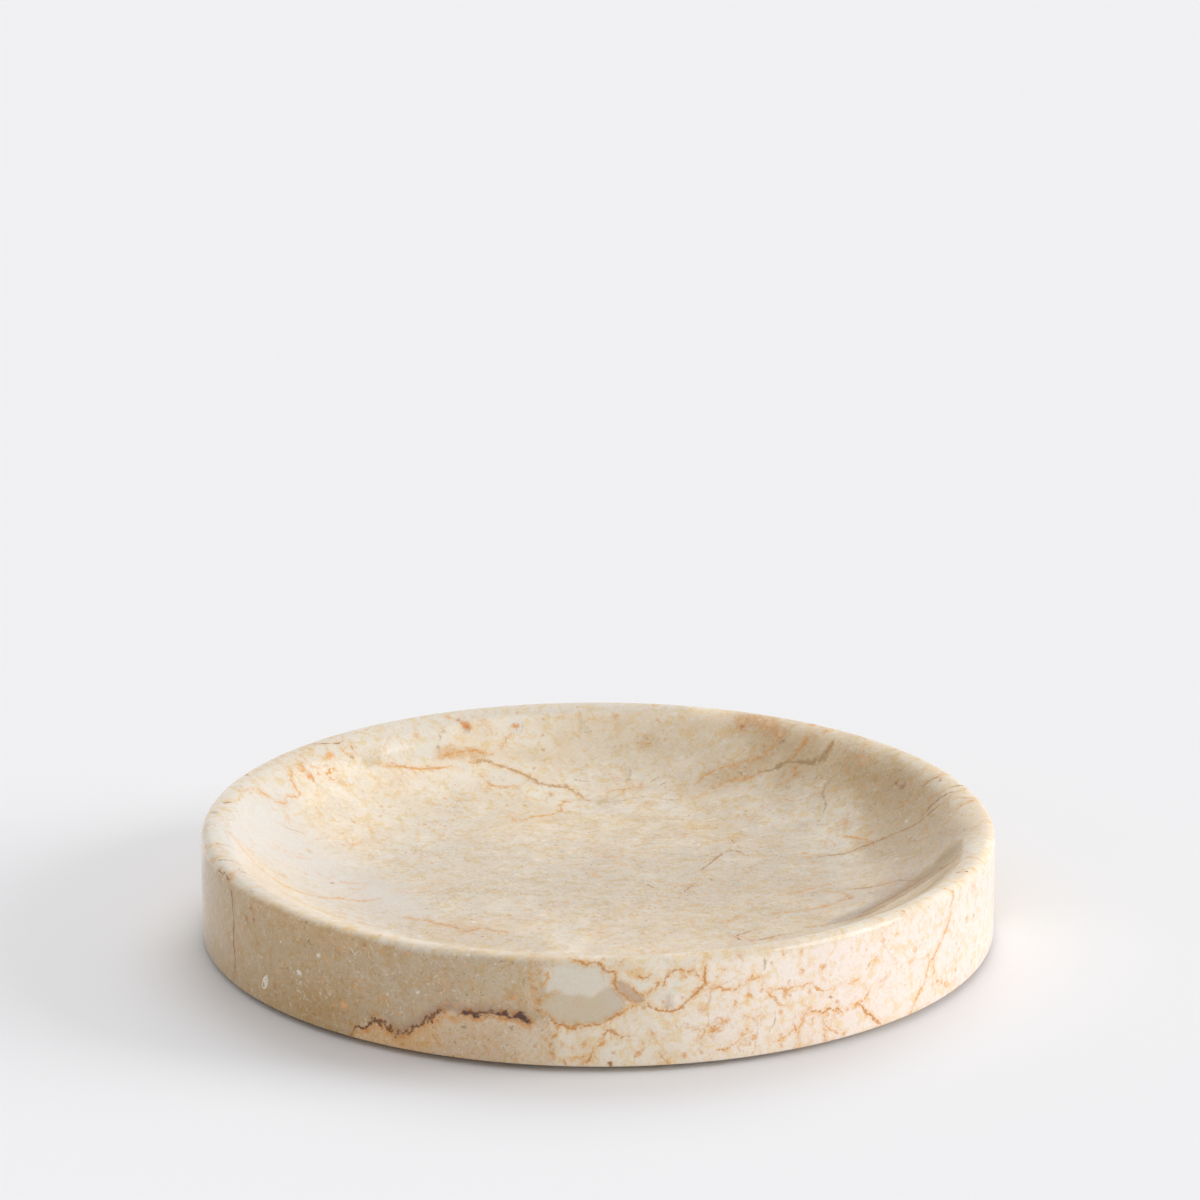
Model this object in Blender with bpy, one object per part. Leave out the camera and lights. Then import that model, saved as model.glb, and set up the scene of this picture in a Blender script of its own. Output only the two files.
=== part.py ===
"""Low round marble bowl, turned from one block of stone, standing on four thin felt pads.

Metres, +Z up. The origin is on the surface that the bowl stands on, under the middle of the bowl.
The bowl's axis is Z. Every length here is a real size of the object.
"""

import math

import bmesh
import bpy

# The stone's outside
BOWL_DIAMETER = 0.200
BOWL_HEIGHT = 0.027
RIM_OUTER_RADIUS = 0.0024
BASE_EDGE_RADIUS = 0.0005

# The hollow: a broad roll over the rim's inner edge, then a short slope and one long sweep to the floor
RIM_INNER_RADIUS = 0.0085
FLOOR_THICKNESS = 0.009
HOLLOW_WALL_RUN = 0.0406
HOLLOW_SWEEP_RADIUS = 0.046

# The felt pads, stuck to the flat underside
PAD_COUNT = 4
PAD_DIAMETER = 0.016
PAD_THICKNESS = 0.0012
PAD_EDGE_RADIUS = 0.0003
PAD_INSET = 0.030
PAD_SEAT_CLEARANCE = 0.0003
FIRST_PAD_ANGLE = math.radians(45.0)

# How finely the round shapes are cut into flat faces
BOWL_SEGMENTS = 96
PAD_SEGMENTS = 40
BASE_EDGE_STEPS = 3
RIM_OUTER_STEPS = 6
RIM_INNER_STEPS = 5
SWEEP_STEPS = 10
PAD_EDGE_STEPS = 2
SMOOTH_ANGLE = math.radians(40.0)

# Finishes: colour, roughness, metallic
MARBLE_FINISH = ((0.76, 0.61, 0.43), 0.18, 0.0)
FELT_FINISH = ((0.62, 0.58, 0.51), 0.95, 0.0)

# Sizes that follow from the ones above
BOWL_RADIUS = BOWL_DIAMETER / 2
HOLLOW_DEPTH = BOWL_HEIGHT - FLOOR_THICKNESS
CREST_RADIUS = BOWL_RADIUS - RIM_OUTER_RADIUS
FLOOR_RADIUS = CREST_RADIUS - HOLLOW_WALL_RUN
PAD_RING_RADIUS = BOWL_RADIUS - PAD_INSET
STONE_LIFT = PAD_THICKNESS + PAD_SEAT_CLEARANCE


def clear_scene():
    """Remove whatever the scene holds."""
    for item in list(bpy.data.objects):
        bpy.data.objects.remove(item, do_unlink=True)


def finish_material(name, finish):
    """A plain Principled material from a colour, a roughness and a metallic value."""
    colour, roughness, metallic = finish
    material = bpy.data.materials.new(name)
    material.use_nodes = True
    shader = material.node_tree.nodes["Principled BSDF"]
    shader.inputs["Base Color"].default_value = (*colour, 1.0)
    shader.inputs["Roughness"].default_value = roughness
    shader.inputs["Metallic"].default_value = metallic
    material.diffuse_color = (*colour, 1.0)
    return material


def arc(centre, radius, start, end, steps):
    """Points (r, z) on an arc about centre, with angles measured from +r towards +z."""
    points = []
    for step in range(steps + 1):
        angle = start + (end - start) * step / steps
        points.append((centre[0] + radius * math.cos(angle), centre[1] + radius * math.sin(angle)))
    return points


def hollow_curve():
    """The radii of the roll and the sweep, and the slope of the line that touches both.

    The roll curves down from the rim and the sweep curves up from the floor. The wall between them
    is the straight line tangent to both, so both radii are limited by the hollow's run and depth.
    """
    wanted = RIM_INNER_RADIUS + HOLLOW_SWEEP_RADIUS
    most = (HOLLOW_WALL_RUN**2 + HOLLOW_DEPTH**2) / (2 * HOLLOW_DEPTH)
    both = min(wanted, most)
    roll = RIM_INNER_RADIUS * both / wanted
    sweep = HOLLOW_SWEEP_RADIUS * both / wanted
    rise = both - HOLLOW_DEPTH
    reach = math.hypot(HOLLOW_WALL_RUN, rise)
    slope = math.asin(min(both / reach, 1.0)) - math.atan2(rise, HOLLOW_WALL_RUN)
    return roll, sweep, slope


def bowl_profile():
    """The stone's section (r, z), from the underside's edge up the outside and down into the hollow.

    The outer round and the roll meet at the rim's crest, which is one point of the section.
    """
    quarter = math.pi / 2
    roll, sweep, slope = hollow_curve()
    base_edge = arc((BOWL_RADIUS - BASE_EDGE_RADIUS, BASE_EDGE_RADIUS), BASE_EDGE_RADIUS,
                    -quarter, 0.0, BASE_EDGE_STEPS)
    rim_edge = arc((CREST_RADIUS, BOWL_HEIGHT - RIM_OUTER_RADIUS), RIM_OUTER_RADIUS,
                   0.0, quarter, RIM_OUTER_STEPS)
    rim_roll = arc((CREST_RADIUS, BOWL_HEIGHT - roll), roll,
                   quarter, quarter + slope, RIM_INNER_STEPS)
    floor_sweep = arc((FLOOR_RADIUS, FLOOR_THICKNESS + sweep), sweep,
                      slope - quarter, -quarter, SWEEP_STEPS)
    return base_edge + rim_edge + rim_roll[1:] + floor_sweep


def turned_mesh(name, profile, segments):
    """A closed mesh turned about Z from an open profile whose two ends become flat round faces."""
    shape = bmesh.new()
    verts = [shape.verts.new((r, 0.0, z)) for r, z in profile]
    edges = [shape.edges.new(pair) for pair in zip(verts, verts[1:])]
    bmesh.ops.spin(shape, geom=verts + edges, cent=(0.0, 0.0, 0.0), axis=(0.0, 0.0, 1.0),
                   angle=2 * math.pi, steps=segments, use_merge=True)
    rings = [edge for edge in shape.edges if edge.is_boundary]
    bmesh.ops.holes_fill(shape, edges=rings, sides=0)
    bmesh.ops.recalc_face_normals(shape, faces=shape.faces)
    mesh = bpy.data.meshes.new(name)
    shape.to_mesh(mesh)
    shape.free()
    mesh.shade_smooth()
    mesh.set_sharp_from_angle(angle=SMOOTH_ANGLE)
    return mesh


def make_bowl():
    """The stone: outer wall, rim, hollow and underside in one piece."""
    mesh = turned_mesh("marble_bowl", bowl_profile(), BOWL_SEGMENTS)
    mesh.materials.append(finish_material("polished_marble", MARBLE_FINISH))
    bowl = bpy.data.objects.new("marble_bowl", mesh)
    bpy.context.collection.objects.link(bowl)
    bowl.location = (0.0, 0.0, STONE_LIFT)
    return bowl


def make_pads(bowl):
    """Four round pads under the stone, spaced evenly on a ring inside its edge."""
    lower = arc((PAD_DIAMETER / 2 - PAD_EDGE_RADIUS, PAD_EDGE_RADIUS), PAD_EDGE_RADIUS,
                -math.pi / 2, 0.0, PAD_EDGE_STEPS)
    mesh = turned_mesh("felt_pad", lower + [(PAD_DIAMETER / 2, PAD_THICKNESS)], PAD_SEGMENTS)
    mesh.materials.append(finish_material("wool_felt", FELT_FINISH))
    for number in range(PAD_COUNT):
        angle = FIRST_PAD_ANGLE + 2 * math.pi * number / PAD_COUNT
        pad = bpy.data.objects.new(f"felt_pad_{number + 1}", mesh)
        bpy.context.collection.objects.link(pad)
        pad.parent = bowl
        pad.location = (PAD_RING_RADIUS * math.cos(angle), PAD_RING_RADIUS * math.sin(angle), -STONE_LIFT)


def main():
    clear_scene()
    make_pads(make_bowl())
    bpy.context.view_layer.update()


main()
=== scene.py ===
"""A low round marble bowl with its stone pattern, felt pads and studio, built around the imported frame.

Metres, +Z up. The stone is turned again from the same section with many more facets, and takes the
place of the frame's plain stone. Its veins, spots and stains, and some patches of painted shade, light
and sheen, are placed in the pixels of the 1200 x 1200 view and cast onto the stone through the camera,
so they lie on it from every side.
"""

import math
from collections import namedtuple

import bmesh
import bpy
import numpy as np
from bpy.props import FloatProperty, FloatVectorProperty, IntProperty, PointerProperty
from mathutils import Euler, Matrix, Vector
from mathutils.bvhtree import BVHTree


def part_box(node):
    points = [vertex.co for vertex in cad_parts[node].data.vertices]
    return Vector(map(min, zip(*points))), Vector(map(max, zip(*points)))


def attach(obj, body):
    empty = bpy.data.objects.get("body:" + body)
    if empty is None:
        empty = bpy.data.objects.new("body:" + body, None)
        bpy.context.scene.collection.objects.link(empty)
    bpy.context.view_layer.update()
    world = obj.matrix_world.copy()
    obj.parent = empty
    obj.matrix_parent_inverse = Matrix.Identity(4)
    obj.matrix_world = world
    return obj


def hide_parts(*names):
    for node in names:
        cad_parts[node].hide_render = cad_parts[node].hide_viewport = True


bl_info = {
    "name": "Marble bowl",
    "version": (1, 0, 0),
    "blender": (4, 5, 0),
    "location": "3D View > Sidebar > Bowl",
    "description": "Builds the marble bowl, its felt pads and its studio",
    "category": "Add Mesh",
}

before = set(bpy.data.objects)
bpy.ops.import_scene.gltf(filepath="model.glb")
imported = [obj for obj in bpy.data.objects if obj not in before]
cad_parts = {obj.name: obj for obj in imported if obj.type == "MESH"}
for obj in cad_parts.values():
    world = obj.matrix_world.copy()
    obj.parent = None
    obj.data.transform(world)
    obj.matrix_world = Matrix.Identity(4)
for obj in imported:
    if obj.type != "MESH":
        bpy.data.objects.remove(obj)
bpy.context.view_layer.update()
STONE_LOW, STONE_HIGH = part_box("marble_bowl")
PADS = [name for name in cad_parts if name.startswith("felt_pad")]


def shown(red, green, blue):
    """A colour given as it shows on screen, 0 to 255, as the linear values that Blender keeps."""
    shares = [value / 255 for value in (red, green, blue)]
    return tuple(v / 12.92 if v <= 0.04045 else ((v + 0.055) / 1.055) ** 2.4 for v in shares)


# The view
VIEW_PIXELS = 1200
FOCAL_PIXELS = 5928.5
SENSOR_WIDTH = 36.0
VIEW_DISTANCE = 1.5
VIEW_ELEVATION = math.radians(19.563)
VIEW_ROLL = math.radians(0.106)
BOWL_CENTRE_PIXEL = (598.39, 872.46)

# How finely the stone is cut into flat faces
UNDERSIDE_STEPS = 6
BASE_EDGE_STEPS = 3
WALL_STEPS = 40
RIM_OUTER_STEPS = 8
RIM_INNER_STEPS = 9
SWEEP_STEPS = 42
FLOOR_STEPS = 26
WEDGES = 20
WELD_DISTANCE = 1e-6
SMOOTH_ANGLE = math.radians(40.0)

# How marks lie in the stone: colour, half width, how far they wander, and how strong their halo is
Mark = namedtuple("Mark", "colour half_width wander halo")
LINE_STYLES = {
    "seam": Mark(shown(118, 72, 36), 0.00036, 0.0026, 1.0),
    "rust": Mark(shown(208, 144, 74), 0.00031, 0.0026, 0.9),
    "amber": Mark(shown(226, 165, 96), 0.00025, 0.0026, 0.6),
    "crack": Mark(shown(136, 92, 56), 0.00028, 0.0018, 0.6),
    "brown": Mark(shown(168, 128, 90), 0.00023, 0.0014, 0.5),
    "grey": Mark(shown(196, 174, 142), 0.00028, 0.0016, 0.2),
    "olive": Mark(shown(180, 150, 106), 0.00072, 0.0036, 0.4),
    "soft": Mark(shown(208, 168, 122), 0.00048, 0.0034, 0.6),
    "faint": Mark(shown(207, 190, 162), 0.00026, 0.0030, 0.0),
    "white": Mark(shown(242, 236, 226), 0.00024, 0.0008, 0.0),
}

# A line's values are kept on the stone within LINE_REACH of it, lines that come nearer each other than
# LINE_CLEARANCE go on different layers, and a line narrows to TIP_SHARE of its width over LINE_TAPER
LAYER_LIMIT = 10
LINE_REACH = 0.0022
LINE_CLEARANCE = 0.0034
LINE_TAPER = 0.004
TIP_SHARE = 0.3
HALO_REACH = 0.0019

# The lines of each style, each a run of x and y in pixels of the view
LINES = {
    "seam": {
        "left_tooth": (
            351, 1035, 354, 1028, 359, 1026, 364, 1029.4, 368, 1026, 372.6, 1018.2, 375, 1022.2,
            379, 1018.5, 380.6, 1026.2, 384.6, 1020.6, 388.6, 1030.2, 391, 1026.2, 395.8, 1036,
            399, 1030.2, 403.8, 1033.4, 407.8, 1030.2, 409.4, 1033.4, 413.4, 1027, 417.4, 1026.2,
            423, 1023, 427, 1017.4, 431, 1021.4, 433.4, 1015, 438.2, 1012.6, 445.4, 1008.6),
        "middle_tooth": (
            455, 1018.2, 458.2, 1015, 463, 1013.4, 471, 1013.1, 475.8, 1016.9, 479, 1012.6, 485.4, 1013.4,
            492.6, 1011, 495.8, 1014.2, 499.8, 1015.8, 505.4, 1012.6, 509.4, 1017.4, 515.8, 1016.9,
            519.8, 1013.4, 523, 1018.2, 526.2, 1022.2, 529.4, 1020.6, 532.6, 1023),
    },
    "rust": {
        "clast_lower_edge": (
            539, 1010, 548, 1015, 552, 1021, 559, 1024.5, 564, 1024, 568, 1029, 575, 1029, 576, 1024,
            584, 1026, 592, 1024.5, 601, 1024.5, 608, 1020, 616, 1015, 625, 1011, 632, 1006, 636, 1003),
        "clast_upper_edge": (
            569, 959, 578, 961, 587, 964.5, 591, 961.5, 601, 964, 605, 971, 613, 972, 616, 978.5, 613, 984,
            619, 991, 626, 998, 633, 1003),
        "band_edge": (625, 984, 632, 987, 636, 992, 644, 996),
        "loop_top": (
            644, 996, 649, 994, 653, 988, 657.5, 983, 662, 986, 666, 978, 670, 972, 677, 971, 685, 969,
            694, 972, 701, 975),
        "loop_side": (
            706, 955, 705, 966, 704, 976, 705, 983, 700, 989, 692, 997, 685, 1004, 677, 1010, 671, 1012,
            656, 1010, 648, 1004, 644, 1001),
        "wall_right_top": (803, 1016, 809, 1008.5, 815, 1011, 823, 1013, 827, 1010, 838, 1009, 843, 1013),
        "wall_right_fall": (823, 1016, 824.5, 1029, 826, 1041),
        "wall_right_curve": (853.6, 1003.6, 861, 1005, 864.5, 1011, 870.5, 1016, 877, 1022, 883, 1025),
        "floor_near_left": (407, 918, 429, 921, 437, 924, 454, 926, 463, 932, 480, 928, 505, 932),
        "below_clast": (602, 1041.5, 603, 1034, 609, 1031, 614, 1033, 620, 1038, 630, 1036),
        "below_1": (559, 1026, 553, 1037, 551, 1044, 550, 1049, 553, 1056),
        "below_2": (602, 1044, 596, 1047.5, 592, 1051, 591, 1057, 586, 1062, 582, 1065),
        "left_rim_1": (204.6, 847, 217, 844, 230, 846.5),
        "left_rim_2": (210, 861, 215, 857.4, 223, 856),
        "band_arc": (632, 972, 637, 975, 642, 978, 648, 977, 650, 975),
    },
    "amber": {
        "left_of_clast_1": (535, 954, 535.5, 963),
        "left_of_clast_2": (555, 961, 548, 969, 548, 978, 541.5, 986, 535.5, 988),
        "left_of_clast_3": (531, 975, 531, 985),
        "left_of_clast_4": (556, 992, 549.5, 996, 544, 1000, 539, 1000),
        "left_of_clast_5": (535.5, 997, 535.5, 1004),
        "left_of_clast_6": (505, 1000, 513, 996, 519, 1002, 524, 1008),
        "below_3": (565, 1058, 578, 1058, 591, 1057),
        "below_4": (564, 1061, 567, 1064.5),
        "below_5": (662, 1056, 668, 1063),
        "right_of_loop_1": (
            705, 989, 713, 989, 719, 986, 724, 990, 735, 990, 737, 987, 743, 987, 748, 982, 752, 977,
            753, 973),
        "right_of_loop_2": (753, 979, 759, 977),
        "right_of_loop_3": (763, 979, 763, 990, 770, 995, 776, 1001, 780, 1005, 787, 1005),
        "right_of_loop_4": (
            767.5, 988, 772, 990, 782, 988.5, 791, 988, 799, 986, 812, 984, 817, 989, 823, 991, 833, 989),
        "low_right_1": (697, 1040, 707, 1034, 720, 1027, 726, 1020.6),
        "low_right_2": (707, 1059, 712, 1053, 726, 1048, 735, 1044, 738.5, 1040),
        "low_right_3": (827, 1027, 837, 1033),
        "low_right_4": (801.5, 1019, 799, 1035, 799, 1045, 797, 1048),
        "low_right_5": (794, 1025, 797, 1031.5),
        "low_right_6": (767.5, 1040, 777, 1041, 786, 1036, 793, 1030),
        "low_right_7": (864.5, 986, 869, 991.5, 864.5, 999, 861, 1002, 853.6, 1003.6),
        "low_right_8": (847.5, 984, 858, 979),
        "right_hair": (
            929, 889, 944.5, 888.5, 953, 892, 952, 903, 948, 925, 940, 944, 935, 955, 929, 962, 926, 977,
            923, 985, 919, 993, 916, 1001, 910.6, 1013),
        "right_hair_2": (933, 964, 934, 971, 932, 984),
        "right_hair_branch": (937, 981, 944.5, 983, 949, 989),
        "near_left_1": (
            228, 832, 238, 842.5, 255, 864, 280, 883, 303, 893, 322, 897.6, 338, 898, 361, 901, 380, 898.7),
        "near_left_2": (255, 873.5, 303, 903, 340, 917, 379, 927),
        "far_left_wave": (
            231, 787, 237, 788, 240, 791.4, 247, 790.6, 256, 788.4, 262, 792, 269, 797, 276.7, 801.6,
            285.5, 803.8, 287, 796.5, 295.7, 797, 300, 793.6, 294.3, 786, 290.6, 776, 291, 761),
        "far_left_4": (336, 768.7, 328, 769, 331, 772, 328, 775, 328, 779, 335, 779.6, 346, 785.5),
        "far_left_5": (297.6, 765, 302, 767, 308, 774.6),
        "far_left_6": (300, 755, 306, 760),
        "far_1": (481, 775, 488, 784, 499.4, 787.3, 517.5, 786.2),
        "far_2": (508, 812, 517, 822, 532, 817, 551, 815, 558, 812, 562, 811, 560, 806, 564, 802, 576, 801),
        "far_3": (609, 791, 624, 789, 639.5, 787),
        "far_4": (509, 735, 505, 742, 499.4, 750),
        "far_5": (441, 757, 458, 752, 475, 750, 490, 754),
        "far_left_run": (
            380.8, 763.5, 386.6, 766.5, 401, 766.5, 416, 768.7, 430.6, 768.7, 442, 767.2, 457, 766.5),
        "far_right_5": (812, 730, 806, 740, 800, 748, 793, 757, 782, 762),
        "far_right_3": (800, 747, 805, 744, 811, 739, 815, 736),
        "far_right_4": (795, 769, 796, 776, 789, 780, 783, 784),
        "right_wall_b": (977, 799, 965, 798, 955, 797),
        "right_wall_c": (864, 848, 871, 845, 868, 842),
        "right_faint": (843, 835.4, 866, 840),
        "floor_streak": (665.9, 885.3, 677, 884.4, 684.5, 885.3, 695.7, 883.5, 701.3, 884),
        "floor_fall": (690, 919, 692, 924.5, 695.7, 928),
        "floor_hook": (721.9, 922.7, 729.3, 920.8, 742.4, 915.2),
        "outline_low": (
            774, 913.3, 794.7, 911.5, 813.3, 908.7, 832, 904, 848.8, 898, 847, 894.7, 837.6, 891.9,
            820, 890.8),
        "outline_high": (781.6, 894.7, 804, 891, 830, 883.5),
        "far_right_one": (
            697, 783, 703, 776.3, 715, 771, 723.7, 766.7, 736, 765, 744.5, 761.5, 758.4, 758.9,
            765.3, 753.7, 774, 745, 780, 733),
        "far_right_two": (716.8, 786.7, 723.7, 781.5, 732.4, 778.9, 744.5, 779.7, 756.7, 774.5, 763.6, 769.3),
        "far_right_low": (694, 799, 699, 795, 706, 793),
        "right_wall_d": (928, 799, 940, 792),
    },
    "crack": {
        "left_crack": (229, 880, 231.5, 891, 233, 909, 234, 924, 233.5, 943, 235, 955, 235, 978, 237, 987),
        "left_top": (224, 872, 229, 880),
        "left_rim_arc": (211.5, 862, 221, 860, 232, 861, 238, 863),
        "left_rim_hook": (219, 870, 222.5, 874.5, 227, 876),
    },
    "brown": {
        "left_tick_1": (246, 916, 248, 924),
        "left_rim_stroke": (240, 869, 231, 879),
        "left_rim_arc_2": (224, 803, 231, 802),
        "far_left_rim": (312.5, 744, 327, 743.6, 338, 743.6, 343.5, 740),
        "far_left_hook": (351.4, 742.3, 352.2, 748, 354.4, 754, 358, 755.5),
        "far_right_rim_vein": (946, 773, 936, 778, 928, 781, 924, 786, 919, 793),
        "right_wall_a": (959, 792, 949.5, 792.6, 942, 797, 934, 802, 926.5, 811, 919, 819),
        "near_right_1": (850, 889, 872, 887, 898.5, 880, 918, 880),
        "near_right_2": (854, 917, 874, 907, 897, 894, 918, 881, 936, 870, 955, 861),
        "near_right_low": (
            965.4, 852.7, 958.5, 856, 949, 864, 939, 870, 925, 881, 907.7, 892, 889, 903, 866, 914.5,
            843, 921, 820, 925.5, 802, 928),
        "right_wall_main": (
            951.5, 796, 942.3, 803, 931, 812, 921.5, 820.4, 912.3, 826, 896, 833, 877.7, 841, 861.5, 847,
            843, 854, 820, 856),
        "near_right_3": (952, 859, 967, 851.5),
        "floor_crack": (
            699.5, 871.3, 710.7, 863, 718, 856.4, 725.6, 851.7, 735, 849.9, 740.5, 851.7, 745, 855.5),
        "floor_crack_2": (729.3, 837.7, 735, 843.3, 738.7, 847),
        "floor_tick_1": (647.2, 884.4, 654.7, 888),
        "floor_tick_2": (684.5, 891.9, 692, 885.3),
        "floor_loop": (
            755.5, 929.2, 748, 932, 738.7, 934.8, 735, 938, 741, 940, 755.5, 940, 766.7, 938.5, 778, 935.5,
            798.4, 932),
    },
    "grey": {
        "far_dash": (665, 799.7, 672, 800.2, 679, 799.5),
        "right_curve": (837, 773.5, 830, 779, 826, 786, 822, 793, 824.5, 799, 826, 806, 822, 815),
        "right_ring": (888, 779, 882.5, 786, 880, 794, 879, 800, 882, 807, 888, 808, 896, 806.5, 902, 802),
        "left_floor": (279, 823, 292, 830, 303, 833),
        "wall_line": (776, 1010, 775, 1021, 767.5, 1034),
        "left_arc": (226, 874, 228, 876),
    },
    "olive": {
        "long_crack": (
            762.5, 771, 772, 770, 777, 767, 784, 763, 793.5, 762, 803, 762.6, 811, 763, 818, 760, 826, 755,
            829, 749, 832, 744, 834, 739),
    },
    "soft": {
        "far_main": (
            470, 762, 480, 761, 488, 761, 501.6, 766, 515, 770.5, 526.6, 775, 533.4, 779.5, 538, 783.5,
            551.5, 785.7, 566, 786.3, 573, 790, 580, 794.5, 585, 799.7, 594, 801.4),
    },
    "faint": {
        "wall_bar": (765, 959, 764, 968.5),
        "far_dash_1": (590, 732, 579.5, 734),
        "far_dash_2": (631, 768, 628, 780),
        "far_dash_3": (650, 782, 659, 777),
        "far_dash_4": (666, 782, 660, 786),
        "far_wave": (596, 801, 613, 802.5, 630, 798.8, 644, 796.2, 658, 798.8, 665, 799.7),
        "far_dash_6": (576, 780, 588, 781),
        "far_left_drop": (351.4, 757.7, 348.5, 765.7),
        "floor_grey": (673, 872, 684.5, 876, 692, 877.9),
    },
    "white": {
        "fossil_left": (262, 988, 263, 980, 267, 975.5, 267.5, 982, 265, 988.5, 262, 988),
        "arc_left": (298, 971, 301, 974),
        "arc_right": (758, 1005, 765, 1013, 770, 1022),
        "streak_1": (734, 1014, 738, 1021),
        "streak_2": (746, 1008, 750, 1012),
        "streak_3": (933.6, 911, 933.6, 919),
        "far_streak": (349, 777, 351, 783),
    },
}

# Small spots, whose half width comes from their radius
SPOT_STYLES = {
    "pale": Mark(shown(238, 229, 213), 0.0, 0.0024, 0.0),
    "blush": Mark(shown(229, 193, 150), 0.0, 0.0036, 0.5),
    "orange": Mark(shown(230, 176, 118), 0.0, 0.0036, 0.7),
    "vivid": Mark(shown(227, 158, 88), 0.0, 0.0036, 0.9),
    "brown": Mark(shown(168, 124, 90), 0.0, 0.0024, 0.7),
    "dark": Mark(shown(88, 58, 46), 0.0, 0.0024, 0.9),
    "grey": Mark(shown(200, 183, 156), 0.0, 0.0024, 0.2),
}
SPOT_STEP = 0.2

# The spots of each style: across, down and radius, in pixels of the view
SPOTS = {
    "orange": (
        (562, 1044.5, 2.5), (571, 1047.5, 2.0), (584, 1045, 2.0), (642, 1044, 2.0), (638, 1054, 2.5),
        (685, 1055, 2.5), (671, 1026, 2.0), (702, 1009, 2.5), (684, 976, 2.0), (344, 1005, 4.0),
        (533, 992, 2.5), (492, 1002, 2.0), (786, 993, 4.5), (844.5, 1033, 3.0), (802, 951.5, 3.0),
        (783, 953, 2.0), (823, 967, 3.0), (724.5, 968.5, 2.0), (801.5, 971.5, 2.0), (749, 995, 2.0),
        (736, 1002, 2.5), (813, 1019, 2.0), (781, 1046, 2.0), (875, 960, 2.0), (897, 934.5, 2.0),
        (912, 961, 2.0), (928, 955, 1.5), (967, 918, 2.0), (236, 862.6, 2.0), (284, 876, 2.0),
        (298.7, 768.7, 2.6), (330, 756, 4.6), (342.6, 749, 2.0), (449, 717, 3.0), (808, 857, 3.6),
        (812, 862, 2.4), (804, 853, 2.4), (905, 803, 1.8), (868.5, 843.5, 1.8), (647.5, 743.3, 2.4),
        (846, 823, 2.5), (795, 769, 2.5), (742, 1034, 3.0), (753, 1036, 2.5), (652, 1034, 2.2),
        (826, 731, 2.5), (812, 725, 2.5), (726, 1021, 2.4), (747, 1029, 2.2)),
    "blush": (
        (441, 757, 3.0), (452, 751, 3.2), (460, 755, 3.2), (471, 751, 3.4), (475, 757, 2.8),
        (448, 748, 2.4), (430, 768, 3.0), (388, 765, 2.6), (417, 736, 2.4), (690, 921, 2.4),
        (725, 922, 2.4), (764, 729.5, 3.4), (769, 722.5, 3.0), (780, 733, 3.2), (759, 719.5, 2.6),
        (616, 717, 4.0), (743, 721, 3.6), (738, 718, 2.4), (729, 764, 2.8), (750, 760, 2.8),
        (740, 778, 2.6)),
    "vivid": (
        (464, 723.8, 4.0), (469, 727, 2.6), (302, 766.8, 2.6), (309.2, 775.2, 3.4), (313, 779, 2.0),
        (515.6, 726, 4.2)),
    "brown": (
        (459, 720.5, 2.2), (251, 908, 1.6), (247, 920, 1.8), (258, 944, 1.6), (253.5, 919, 1.4),
        (275, 987, 1.6), (276.5, 995, 1.4), (365, 944, 1.4), (610, 1064, 1.8), (831, 996, 1.6),
        (974, 915, 1.5), (741, 726.5, 2.2), (332, 883, 1.4), (309, 851, 1.2), (964, 830, 1.5),
        (933, 852, 1.4), (850.6, 898, 1.6), (219.5, 871, 1.5), (903, 786, 3.0), (896, 783, 2.0),
        (958, 872, 1.5), (966, 871, 1.3), (352, 757, 1.8), (382, 1024, 1.6), (396, 1035, 1.8)),
    "dark": (
        (438.5, 1012.4, 2.2), (465.5, 1013, 2.2), (470.5, 1013, 1.8), (475.8, 1015.5, 2.6),
        (498, 1014, 2.6), (505, 1013.2, 1.8), (510, 1017, 2.0), (516, 1016.6, 1.6), (520.5, 1014.6, 2.8),
        (524, 1018, 2.4), (527, 1020.8, 2.0)),
    "grey": (
        (356, 976, 2.2), (361.5, 986, 2.0), (321, 961.5, 1.6), (355, 970, 1.8), (869, 965, 1.6),
        (916, 942, 1.6), (416, 989, 2.0), (405, 1005, 1.8), (214, 812.5, 3.5), (351.4, 757.7, 1.8),
        (443.5, 732, 2.0), (440, 737, 1.8), (438, 747, 1.8), (907, 803, 1.6), (788, 788, 1.6),
        (840.5, 785, 1.6), (765, 962, 2.0), (929, 906.6, 1.4), (890, 831, 1.4)),
    "pale": (
        (770.6, 1003.6, 3.5), (417, 992, 2.0), (724, 742, 2.5), (682, 757, 3.0), (692, 719, 2.5),
        (675, 714, 2.0), (465, 768, 5.0), (505, 775, 6.0), (520, 779, 5.0), (495, 772, 4.0),
        (265, 982, 2.4), (299, 973, 1.6), (318, 955, 1.8), (281, 942, 1.6), (351, 780, 2.6),
        (358, 767, 2.2), (363, 768, 2.2), (501, 782, 3.0), (512, 781, 3.0)),
}
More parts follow.
